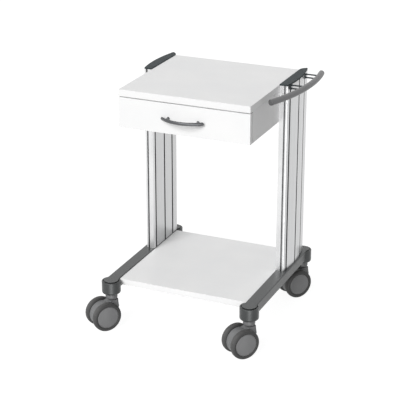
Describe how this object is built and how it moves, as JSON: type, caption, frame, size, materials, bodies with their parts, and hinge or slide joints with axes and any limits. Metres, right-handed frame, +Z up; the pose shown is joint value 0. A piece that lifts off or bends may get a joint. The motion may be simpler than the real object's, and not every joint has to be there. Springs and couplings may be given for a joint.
{
  "type": "equipment trolley",
  "caption": "Open wheeled hospital equipment trolley: top panel over a sliding drawer, slotted side columns, lower shelf, swivel casters and a side push handle.",
  "frame": {"origin": "on the floor, below the middle of the whole trolley's box", "axes": "+Z up, the drawer opens towards -Y, the push handle is on the +X side"},
  "size_m": [0.6392, 0.6178, 0.816],
  "materials": {
    "white_board": "white melamine laminate, matt",
    "anodised_aluminium": "satin anodised extrusion",
    "slate_plastic": "moulded, fine texture, dark slate",
    "plug_plastic": "moulded, fine texture, dark grey",
    "runner_coating": "cast aluminium, grey powder coat",
    "handle_coating": "grey powder coat",
    "pull_metal": "die-cast, dark metallic grey",
    "steel": "zinc-plated",
    "caster_plastic": "moulded grey nylon",
    "wheel_plastic": "moulded grey polypropylene",
    "tyre_rubber": "dark grey thermoplastic rubber"
  },
  "bodies": {
    "root": {"top_panel": "white_board", "housing_left_side": "white_board", "housing_right_side": "white_board", "housing_back": "white_board", "housing_bottom": "white_board", "lower_shelf": "white_board", "column_left": "anodised_aluminium", "column_right": "anodised_aluminium", "column_cap_left": "slate_plastic", "column_cap_right": "slate_plastic", "push_handle_bracket_front": "slate_plastic", "push_handle_bracket_rear": "slate_plastic", "push_handle_plug_front": "plug_plastic", "push_handle_plug_rear": "plug_plastic", "base_runner_left": "runner_coating", "base_runner_right": "runner_coating", "push_handle_tube": "handle_coating", "push_handle_screw_front": "steel", "push_handle_screw_rear": "steel", "cabinet_rail_left": "steel", "cabinet_rail_right": "steel", "caster_front_left_stem": "steel", "caster_front_right_stem": "steel", "caster_rear_left_stem": "steel", "caster_rear_right_stem": "steel"},
    "drawer": {"drawer_front": "white_board", "drawer_left_side": "white_board", "drawer_right_side": "white_board", "drawer_back": "white_board", "drawer_bottom": "white_board", "drawer_pull": "pull_metal", "pull_screw_left": "steel", "pull_screw_right": "steel", "drawer_rail_left": "steel", "drawer_rail_right": "steel"},
    "caster_front_left": {"caster_front_left_housing": "caster_plastic", "caster_front_left_axle": "steel"},
    "caster_front_left_wheel_a": {"caster_front_left_wheel_a_core": "wheel_plastic", "caster_front_left_wheel_a_tyre": "tyre_rubber"},
    "caster_front_left_wheel_b": {"caster_front_left_wheel_b_core": "wheel_plastic", "caster_front_left_wheel_b_tyre": "tyre_rubber"},
    "caster_front_right": {"caster_front_right_housing": "caster_plastic", "caster_front_right_axle": "steel"},
    "caster_front_right_wheel_a": {"caster_front_right_wheel_a_core": "wheel_plastic", "caster_front_right_wheel_a_tyre": "tyre_rubber"},
    "caster_front_right_wheel_b": {"caster_front_right_wheel_b_core": "wheel_plastic", "caster_front_right_wheel_b_tyre": "tyre_rubber"},
    "caster_rear_left": {"caster_rear_left_housing": "caster_plastic", "caster_rear_left_axle": "steel"},
    "caster_rear_left_wheel_a": {"caster_rear_left_wheel_a_core": "wheel_plastic", "caster_rear_left_wheel_a_tyre": "tyre_rubber"},
    "caster_rear_left_wheel_b": {"caster_rear_left_wheel_b_core": "wheel_plastic", "caster_rear_left_wheel_b_tyre": "tyre_rubber"},
    "caster_rear_right": {"caster_rear_right_housing": "caster_plastic", "caster_rear_right_axle": "steel"},
    "caster_rear_right_wheel_a": {"caster_rear_right_wheel_a_core": "wheel_plastic", "caster_rear_right_wheel_a_tyre": "tyre_rubber"},
    "caster_rear_right_wheel_b": {"caster_rear_right_wheel_b_core": "wheel_plastic", "caster_rear_right_wheel_b_tyre": "tyre_rubber"}
  },
  "joints": [
    {"name": "drawer_slide", "type": "slide", "parent": "root", "child": "drawer", "axis": [0, -1, 0], "range_m": [0, 0.3]},
    {"name": "caster_front_left_swivel", "type": "hinge", "parent": "root", "child": "caster_front_left", "pos_m": [-0.24162, -0.22304, 0.119], "axis": [0, 0, 1], "continuous": true},
    {"name": "caster_front_left_wheel_a_spin", "type": "hinge", "parent": "caster_front_left", "child": "caster_front_left_wheel_a", "pos_m": [-0.23874, -0.26547, 0.05], "axis": [0.7955, -0.606, 0], "continuous": true},
    {"name": "caster_front_left_wheel_b_spin", "type": "hinge", "parent": "caster_front_left", "child": "caster_front_left_wheel_b", "pos_m": [-0.28328, -0.23153, 0.05], "axis": [0.7955, -0.606, 0], "continuous": true},
    {"name": "caster_front_right_swivel", "type": "hinge", "parent": "root", "child": "caster_front_right", "pos_m": [0.24938, -0.22304, 0.119], "axis": [0, 0, 1], "continuous": true},
    {"name": "caster_front_right_wheel_a_spin", "type": "hinge", "parent": "caster_front_right", "child": "caster_front_right_wheel_a", "pos_m": [0.25226, -0.26547, 0.05], "axis": [0.7955, -0.606, 0], "continuous": true},
    {"name": "caster_front_right_wheel_b_spin", "type": "hinge", "parent": "caster_front_right", "child": "caster_front_right_wheel_b", "pos_m": [0.20772, -0.23153, 0.05], "axis": [0.7955, -0.606, 0], "continuous": true},
    {"name": "caster_rear_left_swivel", "type": "hinge", "parent": "root", "child": "caster_rear_left", "pos_m": [-0.24162, 0.27396, 0.119], "axis": [0, 0, 1], "continuous": true},
    {"name": "caster_rear_left_wheel_a_spin", "type": "hinge", "parent": "caster_rear_left", "child": "caster_rear_left_wheel_a", "pos_m": [-0.23874, 0.23153, 0.05], "axis": [0.7955, -0.606, 0], "continuous": true},
    {"name": "caster_rear_left_wheel_b_spin", "type": "hinge", "parent": "caster_rear_left", "child": "caster_rear_left_wheel_b", "pos_m": [-0.28328, 0.26547, 0.05], "axis": [0.7955, -0.606, 0], "continuous": true},
    {"name": "caster_rear_right_swivel", "type": "hinge", "parent": "root", "child": "caster_rear_right", "pos_m": [0.24938, 0.27396, 0.119], "axis": [0, 0, 1], "continuous": true},
    {"name": "caster_rear_right_wheel_a_spin", "type": "hinge", "parent": "caster_rear_right", "child": "caster_rear_right_wheel_a", "pos_m": [0.25226, 0.23153, 0.05], "axis": [0.7955, -0.606, 0], "continuous": true},
    {"name": "caster_rear_right_wheel_b_spin", "type": "hinge", "parent": "caster_rear_right", "child": "caster_rear_right_wheel_b", "pos_m": [0.20772, 0.26547, 0.05], "axis": [0.7955, -0.606, 0], "continuous": true}
  ]
}
